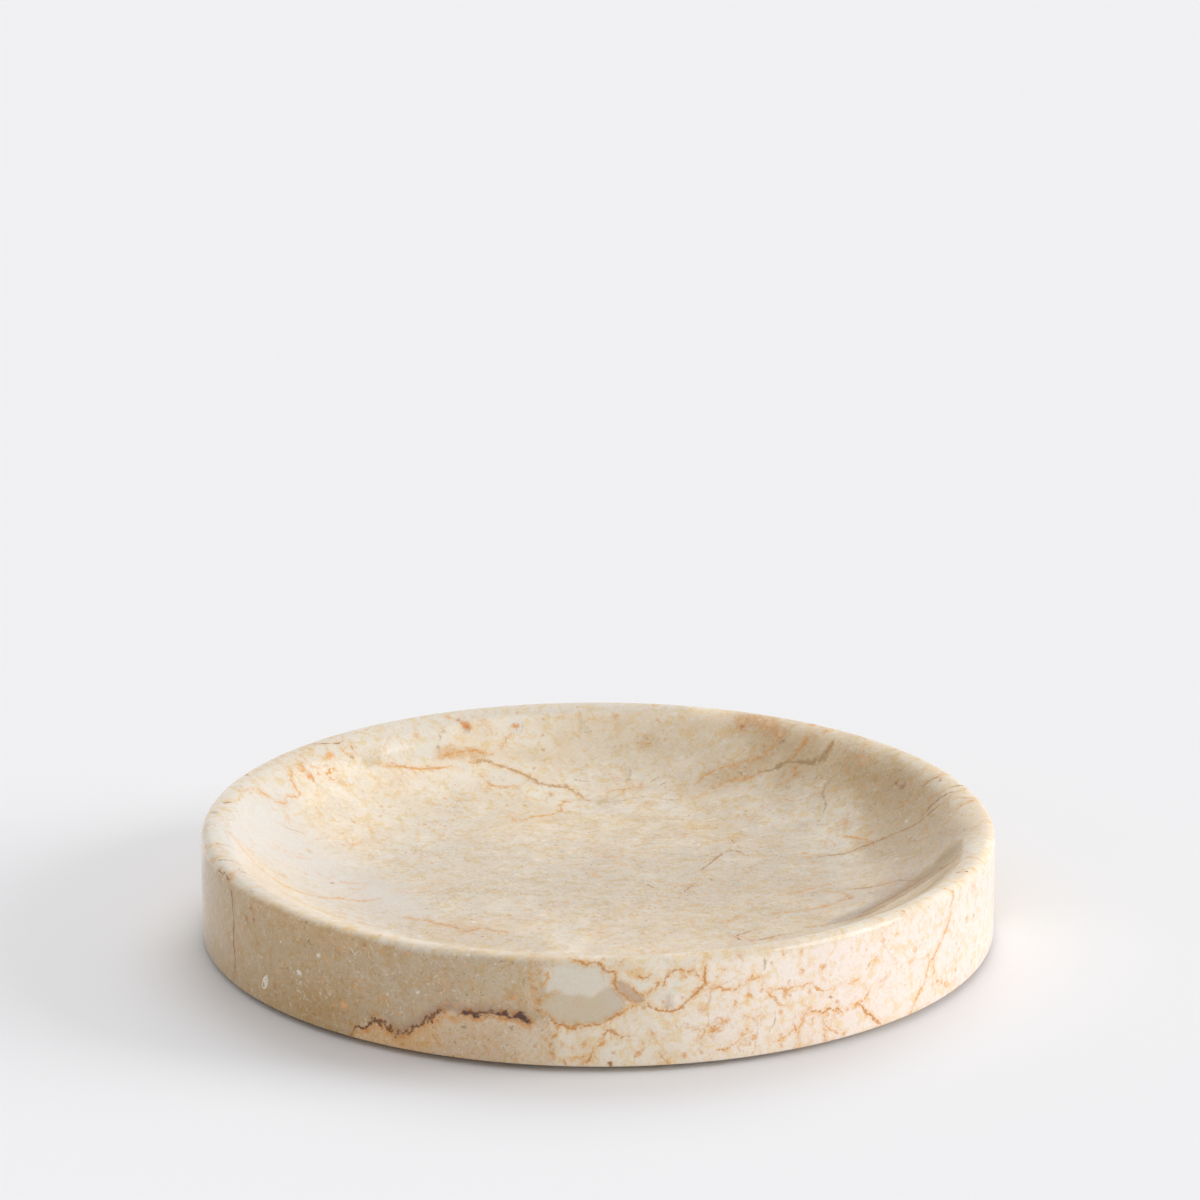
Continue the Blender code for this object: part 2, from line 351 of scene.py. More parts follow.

# Larger stains and pieces, and some patches of painted shade, light and sheen: colour, strength, how
# thick the flecks are in it, soft edge and outline, the last two in pixels of the view. Later ones lie
# over earlier ones.
Region = namedtuple("Region", "colour strength flecks edge outline")
WALL_REGIONS = {
    # Partly tan stone and partly painted shade: darker on the wall's left side, which faces away from the
    # lamps.
    "tan_wall_and_shade": Region((197, 173, 141), 1.0, 0.3, 7.0, (
        120, 830, 240, 870, 300, 905, 380, 932, 460, 948, 528, 958, 545, 972, 549, 990, 543, 1003,
        538, 1010, 547, 1021, 531, 1024, 525, 1021, 511, 1018, 497, 1016, 484, 1012, 464, 1014, 446, 1009,
        433, 1016, 416, 1026, 409, 1032, 395, 1036, 386, 1022, 372, 1020, 354, 1028, 350, 1040, 340, 1070,
        120, 1040)),
    # Partly ochre stone and partly painted shade: a broad, soft darkening of the wall's far left end.
    "ochre_wall_and_shade": Region((192, 165, 125), 0.8, 0.3, 40.0, (
        120, 820, 240, 870, 340, 905, 370, 940, 350, 1030, 340, 1080, 120, 1040)),
    "tan_right": Region((209, 188, 158), 0.7, 0.3, 20.0, (
        470, 945, 535, 955, 545, 985, 530, 1010, 470, 1008)),
    "warm_foot": Region((218, 191, 159), 0.9, 0.35, 9.0, (
        340, 1075, 352, 1036, 364, 1029, 386, 1026, 395, 1038, 416, 1028, 433, 1018, 446, 1012, 484, 1014,
        511, 1020, 531, 1026, 546, 1022, 553, 1030, 549, 1044, 551, 1058, 540, 1080, 430, 1085)),
    "foot_end": Region((232, 214, 190), 0.75, 0.4, 11.0, (
        514, 1034, 530, 1031, 546, 1026, 558, 1036, 562, 1075, 512, 1080)),
    "ochre_rim": Region((205, 170, 120), 0.6, 0.6, 8.0, (
        252, 890, 285, 900, 330, 920, 380, 936, 372, 950, 320, 940, 280, 922, 250, 906)),
    "orange_foot": Region((224, 182, 130), 0.7, 0.8, 6.0, (
        352, 1036, 364, 1030, 386, 1028, 397, 1038, 418, 1029, 440, 1022, 440, 1044, 400, 1056, 352, 1048)),
    "ochre_foot": Region((186, 150, 98), 0.6, 0.4, 12.0, (
        290, 985, 340, 990, 352, 1010, 345, 1045, 300, 1030, 285, 1005)),
    "seam_haze": Region((172, 143, 120), 0.75, 0.1, 4.0, (
        386, 1012, 398, 1028, 416, 1018, 433, 1007, 446, 1000, 464, 1006, 484, 1003, 497, 1007, 511, 1010,
        526, 1012, 529, 1021, 511, 1018, 497, 1016, 484, 1012, 464, 1014, 446, 1009, 433, 1016, 416, 1026,
        409, 1032, 395, 1035)),
    "seam_glow": Region((222, 168, 102), 0.6, 0.5, 1.6, (
        352, 1037, 360, 1029, 368, 1029, 374, 1023, 380, 1026, 386, 1024, 391, 1032, 396, 1039, 404, 1035,
        411, 1034, 418, 1029, 427, 1022, 433, 1018, 440, 1015, 447, 1012, 455, 1020, 463, 1016, 471, 1016,
        476, 1020, 485, 1016, 493, 1014, 499, 1018, 505, 1016, 510, 1020, 517, 1020, 523, 1021, 530, 1026,
        536, 1026, 530, 1030, 523, 1026, 515, 1023, 505, 1020, 499, 1022, 493, 1017, 485, 1019, 476, 1024,
        470, 1019, 463, 1020, 455, 1024, 447, 1017, 440, 1020, 433, 1024, 427, 1027, 418, 1035, 411, 1039,
        404, 1040, 396, 1044, 391, 1038, 386, 1030, 380, 1031, 374, 1029, 368, 1034, 360, 1034)),
    # Partly cream stone and partly painted light: paler on the wall's right side, which faces the side lamp.
    "pale_right_and_light": Region((247, 232, 222), 0.75, 0.4, 60.0, (
        700, 930, 1010, 840, 1010, 1030, 760, 1090, 690, 1060)),
    "rose_right": Region((244, 222, 211), 0.5, 0.3, 25.0, (
        915, 880, 1010, 840, 1010, 1010, 935, 1010)),
    "pale_middle": Region((250, 238, 220), 0.4, 0.3, 20.0, (
        605, 1022, 650, 1012, 690, 1000, 700, 945, 800, 935, 790, 1070, 620, 1075)),
    "orange_shoulder": Region((222, 196, 160), 0.7, 0.8, 6.0, (
        526, 958, 556, 958, 548, 975, 541, 992, 541, 1008, 530, 1010, 522, 995, 526, 975)),
    "pale_piece": Region((232, 222, 205), 1.0, 0.05, 2.5, (
        545, 955, 569, 957, 587, 964, 601, 965, 613, 975, 612, 985, 601, 990, 588, 997, 570, 995, 556, 990,
        547, 993, 543, 980)),
    "grey_piece": Region((217, 199, 171), 1.0, 0.05, 2.2, (
        542, 1003, 547, 994, 556, 991, 562, 994, 570, 996, 580, 994, 588, 998, 593, 997, 601, 991,
        611, 986, 619, 991, 625, 1000, 624, 1007, 613, 1017, 601, 1023, 576, 1025, 559, 1024, 551, 1020,
        547, 1014)),
    "cool_end": Region((215, 200, 180), 0.8, 0.0, 5.0, (
        606, 990, 618, 991, 625, 1000, 624, 1007, 612, 1016, 606, 1012)),
    "purple_band": Region((209, 184, 160), 1.0, 0.0, 2.2, (
        613, 981, 622, 980, 634, 990, 645, 998, 643, 1003, 634, 1003, 622, 993)),
    "white_piece": Region((240, 232, 216), 0.9, 0.0, 2.5, (
        628, 978, 640, 980, 652, 978, 654, 988, 648, 993, 640, 990, 632, 985)),
    "band_wedge": Region((223, 204, 184), 0.9, 0.2, 2.0, (
        666, 994, 671, 994, 674, 1009, 662, 1009)),
}
HOLLOW_REGIONS = {
    "far_right_tan": Region((210, 185, 147), 0.8, 0.2, 26.0, (
        735, 712, 800, 720, 860, 743, 905, 775, 925, 800, 905, 835, 870, 830, 850, 800, 800, 788, 770, 770,
        745, 745)),
    # Partly tan stone and partly painted shade on the inner right wall, which faces away from the side lamp.
    "right_wall_tan_and_shade": Region((201, 178, 146), 0.85, 0.4, 22.0, (
        890, 760, 945, 790, 968, 830, 962, 862, 900, 885, 870, 850, 880, 810)),
    "right_upper": Region((190, 165, 128), 0.6, 0.4, 16.0, (
        850, 755, 905, 775, 925, 800, 900, 812, 868, 800, 850, 780)),
    "net_tan": Region((219, 189, 146), 0.6, 0.7, 7.0, (
        700, 780, 735, 762, 765, 750, 772, 760, 745, 782, 715, 790)),
    # Partly pale stone and partly painted sheen: a whitish grey tone on the far-left wall that stands in for
    # a glossy reflection.
    "far_left_pale_and_sheen": Region((236, 228, 214), 0.9, 0.25, 9.0, (
        328, 735, 362, 717, 420, 712, 452, 728, 440, 758, 385, 764, 338, 760)),
    "left_rim_tan": Region((216, 195, 164), 0.6, 0.4, 10.0, (
        255, 765, 300, 740, 345, 725, 352, 745, 318, 752, 285, 775, 250, 800)),
    "tan_piece": Region((220, 203, 176), 0.9, 0.25, 1.3, (
        363, 750, 374, 747, 382, 752, 380, 765, 368, 768, 362, 760)),
    "far_tan": Region((228, 209, 180), 0.5, 0.15, 24.0, (
        560, 735, 620, 725, 680, 722, 735, 745, 700, 775, 640, 770, 590, 762)),
    "floor_tan": Region((216, 194, 160), 0.5, 0.2, 4.0, (
        594, 800, 606, 798.5, 619, 801, 612, 804, 600, 804.5)),
    # Painted shade: a broad darker tone over the far-left hollow, partly a painted shadow.
    "left_hollow_shade": Region((224, 213, 196), 0.5, 0.25, 40.0, (
        262, 790, 330, 765, 420, 770, 500, 800, 480, 870, 440, 915, 340, 890, 262, 840)),
    "floor_rose": Region((208, 192, 170), 0.75, 0.28, 70.0, (
        470, 830, 600, 810, 780, 800, 860, 850, 880, 910, 760, 960, 600, 960, 440, 940, 400, 890)),
    # Partly brown streaks and partly painted shade: a dark band inside the near right rim, where the wall
    # turns away from the light.
    "near_band_streaks_and_shade": Region((188, 168, 144), 0.8, 0.2, 3.0, (
        961, 841, 958, 852, 948, 863, 935, 874, 910, 890, 889, 902, 866, 914, 843, 921, 830, 922, 850, 913,
        872, 903, 890, 892, 912, 878, 931, 866, 945, 853)),
    "rose_haze": Region((204, 179, 158), 0.7, 0.3, 8.0, (
        872, 893, 890, 881, 912, 874, 925, 870, 912, 882, 893, 892, 880, 897)),
    "rust_ring": Region((226, 200, 160), 0.6, 0.5, 5.0, (
        637, 743, 642, 735, 652, 734, 659, 741, 655, 750, 643, 751)),
    "far_ring": Region((240, 233, 224), 0.85, 0.05, 2.0, (
        506, 726, 509, 720, 516, 717.5, 523, 720.5, 524.5, 727, 520, 733, 512, 733.5)),
    "far_blot": Region((218, 156, 92), 0.8, 0.6, 2.4, (
        457, 719, 463, 718, 468, 721, 473, 728, 468, 730.5, 462, 727.5)),
    "far_left_net": Region((226, 186, 134), 0.55, 0.9, 5.0, (
        436, 749, 458, 745, 476, 747, 492, 753, 486, 761, 470, 758, 452, 761, 436, 759)),
    "far_right_net": Region((218, 168, 120), 0.55, 0.9, 4.0, (
        735, 717, 746, 713, 762, 716, 776, 721, 788, 733, 780, 739, 766, 731, 752, 725, 743, 731, 737, 727)),
    # Painted shade and painted sheen: a darker, grey-white tone on the lit left slope that holds back the
    # side lamp and stands in for its whitish gloss.
    "left_slope_shade_and_sheen": Region((220, 215, 208), 0.8, 0.15, 16.0, (
        204, 830, 215, 800, 250, 780, 300, 780, 290, 830, 260, 860, 220, 868)),
    # Painted shade: a dimmer tone along the rim's crest from the near left round the far side, where its top
    # would show too bright.
    "left_crest_shade": Region((226, 216, 202), 0.85, 0.3, 4.0, (
        198, 842, 206, 862, 226, 876, 258, 892, 298, 909, 348, 924, 418, 937, 480, 944, 545, 949, 545, 939,
        480, 933, 420, 925, 352, 911, 303, 896, 264, 879, 236, 864, 220, 848, 214, 836, 220, 820, 238, 804,
        258, 791, 296, 769, 354, 747, 424, 729, 502, 717, 600, 713, 690, 713, 690, 698, 600, 698, 500, 700,
        420, 712, 348, 731, 286, 754, 244, 780, 222, 796, 203, 815)),
    # Painted shade: darker, greyer tones on the inner left wall that hold back the side lamp there, partly
    # also a painted shadow.
    "left_inner_shade": Region((222, 213, 203), 0.85, 0.12, 14.0, (
        225, 850, 240, 820, 300, 825, 350, 865, 420, 900, 430, 925, 360, 905, 300, 880, 262, 858)),
    # Painted shade: a darker tone low on the inner left wall, where the side lamp makes the stone too bright.
    "left_low_shade": Region((221, 208, 191), 0.75, 0.2, 10.0, (
        222, 866, 262, 856, 300, 876, 360, 903, 430, 922, 420, 934, 360, 922, 300, 903, 250, 886)),
    "near_rust": Region((206, 178, 138), 0.45, 0.5, 10.0, (
        400, 925, 470, 925, 520, 935, 560, 948, 520, 950, 450, 944)),
}
GROUND_FLECKS = 0.3
RIM_BLEND = 0.0024

# Where the wall's stains, and the painted shade and light among them, fade before its two ends: how far
# round, and how that edge waves
EDGE_TURN = math.radians(14.0)
EDGE_WAVER = math.radians(2.5)
EDGE_WAVE = 0.0022

# Noise over the stone and the felt
Field = namedtuple("Field", "scale detail roughness distortion", defaults=(0.0,))
FIELDS = {
    "clouds": Field(46.0, 5.0, 0.62, 0.6),
    "ragged": Field(150.0, 8.0, 0.72, 0.4),
    "cool": Field(78.0, 4.0, 0.6, 1.2),
    "mottle": Field(260.0, 5.0, 0.65, 0.8),
    "iron": Field(120.0, 6.0, 0.72, 1.0),
    "smudge": Field(340.0, 5.0, 0.7, 0.6),
    "grit": Field(620.0, 5.0, 0.75, 1.5),
    "scraps": Field(480.0, 5.0, 0.7, 2.2),
    "crowds": Field(75.0, 3.0, 0.6),
    "flecks": Field(720.0, 6.0, 0.72, 0.3),
    "grain": Field(1500.0, 3.0, 0.7),
    "speck_bend": Field(900.0, 2.0, 0.55),
    "web_bend": Field(110.0, 5.0, 0.7),
    "web_patches": Field(60.0, 3.0, 0.6),
    "wander": Field(700.0, 5.0, 0.7),
    "breaks": Field(240.0, 3.0, 0.6),
    "fibres": Field(2600.0, 4.0, 0.75, 2.5),
    "tufts": Field(420.0, 2.0, 0.5),
}

# Ramps from low..high to out_low..out_high
Ramp = namedtuple("Ramp", "low high out_low out_high", defaults=(0.0, 1.0))
CLOUD_RAMP = Ramp(0.36, 0.66)
COVER_RAMP = Ramp(0.55, 1.35)
COVER_START = Ramp(0.0, 0.25)
COVER_RAGGED = 0.9
BARE_RAMP = Ramp(0.0, 1.0, 1.0, 0.2)
ROUGH_RAMP = Ramp(0.1, 0.3)
TAN_RAMP = Ramp(0.60, 0.72, 1.0, 0.0)
CROWD_RAMP = Ramp(0.36, 0.60, 0.25)
GRAIN_RAMP = Ramp(0.3, 0.7, 0.95, 1.05)
GLOSS_RAMP = Ramp(0.3, 0.7, 0.07, 0.12)
WEB_RAMP = Ramp(0.0, 0.05, 1.0, 0.0)
WEB_PATCHES = Ramp(0.52, 0.64, 0.0, 0.6)
WEB_FLECKS = Ramp(0.40, 0.56, 0.2)
WEB_SCALE = 95.0
WEB_BEND = 0.012
WIDTH_RAMP = Ramp(0.30, 0.70, 0.6, 1.5)
LINE_CORE = 0.35
LINE_EDGE = 1.5
LINE_BREAKS = Ramp(0.30, 0.46, 0.50)
LINE_FLECKS = Ramp(0.36, 0.50, 0.55)
HALO_FLECKS = Ramp(0.44, 0.60, 0.3)
FIBRE_RAMP = Ramp(0.35, 0.65)
TUFT_RAMP = Ramp(0.4, 0.7, 0.0, 0.35)
FELT_SHADE = 0.55
FELT_ROUGHNESS = 0.95
FELT_SHEEN = 0.3
FIBRE_BUMP = 0.6
FIBRE_HEIGHT = 0.0002

# What lies over the stone's ground in turn: a noise field from low to high, how much of it shows,
# its colour, and the mask that it keeps to
Layer = namedtuple("Layer", "field low high amount colour mask blend", defaults=("MIX",))
GROUND_LAYERS = (
    Layer("cool", 0.52, 0.70, 0.45, "grey", "bare"),
    Layer("mottle", 0.54, 0.66, 0.5, "pale", "bare"),
    Layer("iron", 0.56, 0.76, 0.6, "orange", None),
    Layer("smudge", 0.48, 0.62, 1.0, "stain", "rough", "MULTIPLY"),
    Layer("grit", 0.57, 0.66, 0.7, "grit", "worn"),
    Layer("scraps", 0.57, 0.66, 0.45, "pale", "worn"),
    Layer("flecks", 0.52, 0.64, 1.0, "fleck", "crowded", "MULTIPLY"),
    Layer("flecks", 0.46, 0.32, 0.8, "pale", "crowded"),
)

# Iron specks and shell scraps, each in only a few of the cells
Speck = namedtuple("Speck", "scale rarity size colour amount")
SPECKS = (Speck(430.0, 0.88, 0.22, "orange", 0.7), Speck(300.0, 0.95, 0.16, "pale", 0.6))
SPECK_BEND = 0.0012
SPECK_CORE = 0.5
SPECK_EDGE = 1.6
RARITY_STEP = 0.02

# Soft lamps: turn from +X towards +Y, height above the horizon, and how wide each looks from the bowl
Lamp = namedtuple("Lamp", "azimuth elevation spread")
SIDE_LAMP = Lamp(math.radians(3.0), math.radians(16.0), math.radians(28.0))
BACK_LAMP = Lamp(math.radians(76.0), math.radians(46.0), math.radians(40.0))
GLINT_LAMP = Lamp(math.radians(-8.0), math.radians(36.0), math.radians(40.0))


# The settings
def length(label, description, default, low, high):
    """A length in metres."""
    return FloatProperty(name=label, description=description, default=default, min=low, max=high,
                         unit="LENGTH", precision=4)


def level(label, description, default, high=1.0):
    """A strength or a share, from none up to high."""
    return FloatProperty(name=label, description=description, default=default, min=0.0, max=high)


def colour(label, description, *screen):
    """A colour, given as it shows on screen."""
    return FloatVectorProperty(name=label, description=description, subtype="COLOR",
                               default=shown(*screen), min=0.0, max=1.0)


class BowlSizes(bpy.types.PropertyGroup):
    """Sizes of the stone's section that the frame's box doesn't give."""
    rim_outer_radius: length("Outer round", "Radius over the rim's outer edge", 0.0024, 0.0005, 0.006)
    base_edge_radius: length("Base edge", "Radius along the underside's edge", 0.0005, 0.0001, 0.003)
    rim_inner_radius: length("Inner roll", "Radius of the roll inside the rim", 0.0085, 0.001, 0.02)
    floor_thickness: length("Floor", "Thickness of the stone under the hollow", 0.009, 0.004, 0.02)
    wall_run: length("Wall run", "From the rim's crest in to the flat floor", 0.0406, 0.01, 0.08)
    sweep_radius: length("Sweep", "Radius of the curve from the wall to the floor", 0.046, 0.005, 0.1)
    segments: IntProperty(name="Segments", description="Facets round the stone", default=700, min=48, max=720)


class StoneColours(bpy.types.PropertyGroup):
    """Colours of the marble and the felt."""
    cream: colour("Cream", "The stone's palest ground", 247, 236, 219)
    tan: colour("Tan", "The stone's warmer ground", 240, 220, 192)
    grey: colour("Grey", "Cooler clouds in the stone", 222, 212, 195)
    orange: colour("Orange", "Iron stains in the stone", 226, 171, 114)
    halo: colour("Halo", "Warm tint beside the veins", 250, 217, 166)
    fleck: colour("Fleck", "Fine warm flecks all over the stone", 250, 215, 165)
    stain: colour("Stain", "Ochre smudges that darken the ground", 252, 240, 212)
    grit: colour("Grit", "Fine brown grit in the tan stone", 142, 108, 74)
    pale: colour("Pale", "Shell pieces in the stone", 243, 236, 222)
    felt: colour("Felt", "The pads' wool", 196, 188, 174)


class StudioSettings(bpy.types.PropertyGroup):
    """The floor and the light."""
    floor_colour: colour("Floor", "The pale floor", 241, 241, 243)
    sky_strength: level("Sky", "Strength of the even light from all round", 0.65, 2.0)
    backdrop_strength: level("Backdrop", "Brightness of the studio that gloss mirrors", 0.72, 2.0)
    side_share: level("Side lamp", "The side lamp's share of the light on the floor", 0.16)
    back_share: level("Back lamp", "The back lamp's share of the light on the floor", 0.185)
    glint_share: level("Glint lamp", "Strength of the screen that the rim mirrors", 0.2)
    floor_reach: length("Floor reach", "Half the floor's side", 8.0, 0.1, 100.0)


# The section of the stone
def arc(centre, radius, start, end, steps):
    """Points (r, z) on an arc about centre, with angles measured from +r towards +z."""
    angles = [start + (end - start) * step / steps for step in range(steps + 1)]
    return [(centre[0] + radius * math.cos(a), centre[1] + radius * math.sin(a)) for a in angles]


def run(start, end, steps):
    """Points on the straight line from start to end, without its two ends."""
    return [tuple(a + (b - a) * step / steps for a, b in zip(start, end)) for step in range(1, steps)]


def stone_section(sizes):
    """The section from the axis under the stone, round the wall and rim, to the axis on the floor."""
    radius, edge = STONE_HIGH.x, sizes.base_edge_radius
    base, top = STONE_LOW.z, STONE_HIGH.z
    floor = base + sizes.floor_thickness
    depth = top - floor
    crest = radius - sizes.rim_outer_radius
    wanted = sizes.rim_inner_radius + sizes.sweep_radius
    both = min(wanted, (sizes.wall_run**2 + depth**2) / (2 * depth))
    roll = sizes.rim_inner_radius * both / wanted
    sweep = sizes.sweep_radius * both / wanted
    rise = both - depth
    slope = math.asin(min(both / math.hypot(sizes.wall_run, rise), 1.0)) - math.atan2(rise, sizes.wall_run)
    quarter = math.pi / 2
    base_edge = arc((radius - edge, base + edge), edge, -quarter, 0.0, BASE_EDGE_STEPS)
    rim_edge = arc((crest, top - sizes.rim_outer_radius), sizes.rim_outer_radius, 0.0, quarter,
                   RIM_OUTER_STEPS)
    rim_roll = arc((crest, top - roll), roll, quarter, quarter + slope, RIM_INNER_STEPS)
    floor_sweep = arc((crest - sizes.wall_run, floor + sweep), sweep, slope - quarter, -quarter,
                      SWEEP_STEPS)
    return ([(0.0, base)] + run((0.0, base), base_edge[0], UNDERSIDE_STEPS) + base_edge
            + run(base_edge[-1], rim_edge[0], WALL_STEPS) + rim_edge + rim_roll[1:] + floor_sweep
            + run(floor_sweep[-1], (0.0, floor), FLOOR_STEPS) + [(0.0, floor)])


def turned_stone(sizes):
    """The stone's mesh, spun about the axis and closed at both poles, and the same as a tree for rays."""
    shape = bmesh.new()
    verts = [shape.verts.new((r, 0.0, z)) for r, z in stone_section(sizes)]
    edges = [shape.edges.new(pair) for pair in zip(verts, verts[1:])]
    wedge = 2 * math.pi / WEDGES
    about = {"cent": (0.0, 0.0, 0.0), "axis": (0.0, 0.0, 1.0)}
    bmesh.ops.spin(shape, geom=verts + edges, angle=wedge, steps=sizes.segments // WEDGES, **about)
    bmesh.ops.spin(shape, geom=list(shape.verts) + list(shape.edges) + list(shape.faces),
                   angle=2 * math.pi - wedge, steps=WEDGES - 1, use_duplicate=True, **about)
    bmesh.ops.remove_doubles(shape, verts=shape.verts, dist=WELD_DISTANCE)
    bmesh.ops.recalc_face_normals(shape, faces=shape.faces)
    tree = BVHTree.FromBMesh(shape)
    mesh = bpy.data.meshes.new("stone")
    shape.to_mesh(mesh)
    shape.free()
    mesh.shade_smooth()
    mesh.set_sharp_from_angle(angle=SMOOTH_ANGLE)
    return mesh, tree


# The camera, and what a pixel of its view falls on
def camera_place():
    """The camera's place and turn, from its distance, elevation, roll and the bowl's pixel."""
    across = (BOWL_CENTRE_PIXEL[0] - VIEW_PIXELS / 2) / FOCAL_PIXELS
    down = math.atan((BOWL_CENTRE_PIXEL[1] - VIEW_PIXELS / 2) / FOCAL_PIXELS)
    centre = Vector((0.0, 0.0, (STONE_LOW.z + STONE_HIGH.z) / 2))
    place = centre + VIEW_DISTANCE * Vector((-across, -math.cos(VIEW_ELEVATION), math.sin(VIEW_ELEVATION)))
    turn = Euler((math.pi / 2 - (VIEW_ELEVATION - down), 0.0, 0.0)).to_matrix()
    return place, turn @ Euler((0.0, 0.0, VIEW_ROLL)).to_matrix()


def cast(tree, pixel):
    """The point of the stone that shows at a pixel, or None."""
    place, turn = camera_place()
    middle = VIEW_PIXELS / 2
    ray = turn @ Vector(((pixel[0] - middle) / FOCAL_PIXELS, (middle - pixel[1]) / FOCAL_PIXELS, -1.0))
    return tree.ray_cast(place, ray.normalized())[0]


def pixels_of(points):
    """The pixels at which points (n, 3) show."""
    place, turn = camera_place()
    seen = (points - np.array(place)) @ np.array(turn)
    middle = VIEW_PIXELS / 2
    return np.stack([middle - FOCAL_PIXELS * seen[:, 0] / seen[:, 2],
                     middle + FOCAL_PIXELS * seen[:, 1] / seen[:, 2]], axis=1)


def pairs(numbers):
    """The x, y rows of a path that is written as one run of numbers."""
    return np.array(numbers, dtype=float).reshape(-1, 2)


# Lines on the stone
def offsets_to(points, line):
    """For each point, the vector to a line's nearest point, its length, and how far that lies from a tip."""
    nearest = np.full((len(points), 3), LINE_CLEARANCE * 2)
    best = np.full(len(points), np.inf)
    along = np.zeros(len(points))
    walked = 0.0
    for start, end in zip(line, line[1:]):
        step = end - start
        size = max(np.linalg.norm(step), WELD_DISTANCE)
        share = np.clip((points - start) @ step / size**2, 0.0, 1.0)
        offset = start + share[:, None] * step - points
        gap = np.linalg.norm(offset, axis=1)
        closer = gap < best
        nearest[closer] = offset[closer]
        along[closer] = walked + share[closer] * size
        best[closer] = gap[closer]
        walked += size
    return nearest, best, np.minimum(along, walked - along)


class LineLayer:
    """Lines that lie far enough apart to share one set of attributes on the stone."""

    def __init__(self, count):
        self.gap = np.full(count, np.inf)
        self.reach = np.full((count, 3), 1.0)
        self.form = np.zeros((count, 3))
        self.tint = np.zeros((count, 4))

    def has_room(self, near, gap):
        """Whether a line whose distance from the points near is gap keeps clear of this layer's lines."""
        held = self.gap[near]
        return not ((held < LINE_CLEARANCE) & (gap < LINE_REACH)
                    | (held < LINE_REACH) & (gap < LINE_CLEARANCE)).any()

    def add(self, near, offset, gap, taper, style):
        """Take in a line, wherever it lies nearer than the ones already here."""
        closer = gap < self.gap[near]
        chosen = near[closer]
        self.gap[chosen] = gap[closer]
        self.reach[chosen] = offset[closer]
        self.form[chosen] = np.stack([style.half_width * taper[closer], np.full(len(chosen), style.wander),
                                      np.full(len(chosen), style.halo)], axis=1)
        self.tint[chosen] = [*style.colour, 1.0]
        self.tint[chosen, 3] = self.gap[chosen] < LINE_REACH


def marks():
    """The name, the pixels and the style of every line and spot."""
    for kind, lines in LINES.items():
        for name, line in lines.items():
            yield name, pairs(line), LINE_STYLES[kind]
    for kind, style in SPOT_STYLES.items():
        for x, y, radius in SPOTS[kind]:
            size = radius * VIEW_DISTANCE / FOCAL_PIXELS
            yield f"{kind} spot {x} {y}", pairs((x, y, x, y + SPOT_STEP)), style._replace(half_width=size)


def lay_marks(points, tree):
    """Cast every mark onto the stone, and again half a turn round where the view doesn't reach."""
    layers = []
    for name, pixels, style in marks():
        hits = [hit for hit in (cast(tree, pixel) for pixel in pixels) if hit]
        if len(hits) < 2:
            raise ValueError(f"{name} misses the stone")
        line = np.array(hits)
        on_wall = np.hypot(line[:, 0], line[:, 1]).max() > STONE_HIGH.x - RIM_BLEND
        for turn in (1.0, -1.0)[:1 + on_wall]:
            turned = line * np.array((turn, turn, 1.0))
            low = turned.min(axis=0) - LINE_CLEARANCE * 2
            high = turned.max(axis=0) + LINE_CLEARANCE * 2
            near = np.flatnonzero(((points > low) & (points < high)).all(axis=1))
            offset, gap, tip = offsets_to(points[near], turned)
            taper = np.ones(len(near))
            if len(pixels) > 2:
                taper = TIP_SHARE + (1 - TIP_SHARE) * np.minimum(tip / LINE_TAPER, 1.0)
            layer = next((one for one in layers if one.has_room(near, gap)), None)
            if layer is None:
                layer = LineLayer(len(points))
                layers.append(layer)
            layer.add(near, offset, gap, taper, style)
    if len(layers) > LAYER_LIMIT:
        raise ValueError(f"the lines need {len(layers)} layers, over {LAYER_LIMIT}")
    return layers


# Stains, and patches of painted shade, light and sheen, on the stone
def depth_inside(pixels, outline):
    """How deep each pixel lies inside a closed outline, less than zero outside it."""
    inside = np.zeros(len(pixels), dtype=bool)
    gap = np.full(len(pixels), np.inf)
    corners = pairs(outline)
    for start, end in zip(corners, np.roll(corners, -1, axis=0)):
        step = end - start
        share = np.clip((pixels - start) @ step / (step @ step), 0.0, 1.0)
        gap = np.minimum(gap, np.linalg.norm(start + share[:, None] * step - pixels, axis=1))
        crosses = (start[1] > pixels[:, 1]) != (end[1] > pixels[:, 1])
        with np.errstate(divide="ignore", invalid="ignore"):
            at = start[0] + (pixels[:, 1] - start[1]) / (end[1] - start[1]) * step[0]
        inside ^= crosses & (pixels[:, 0] < at)
    return np.where(inside, gap, -gap)


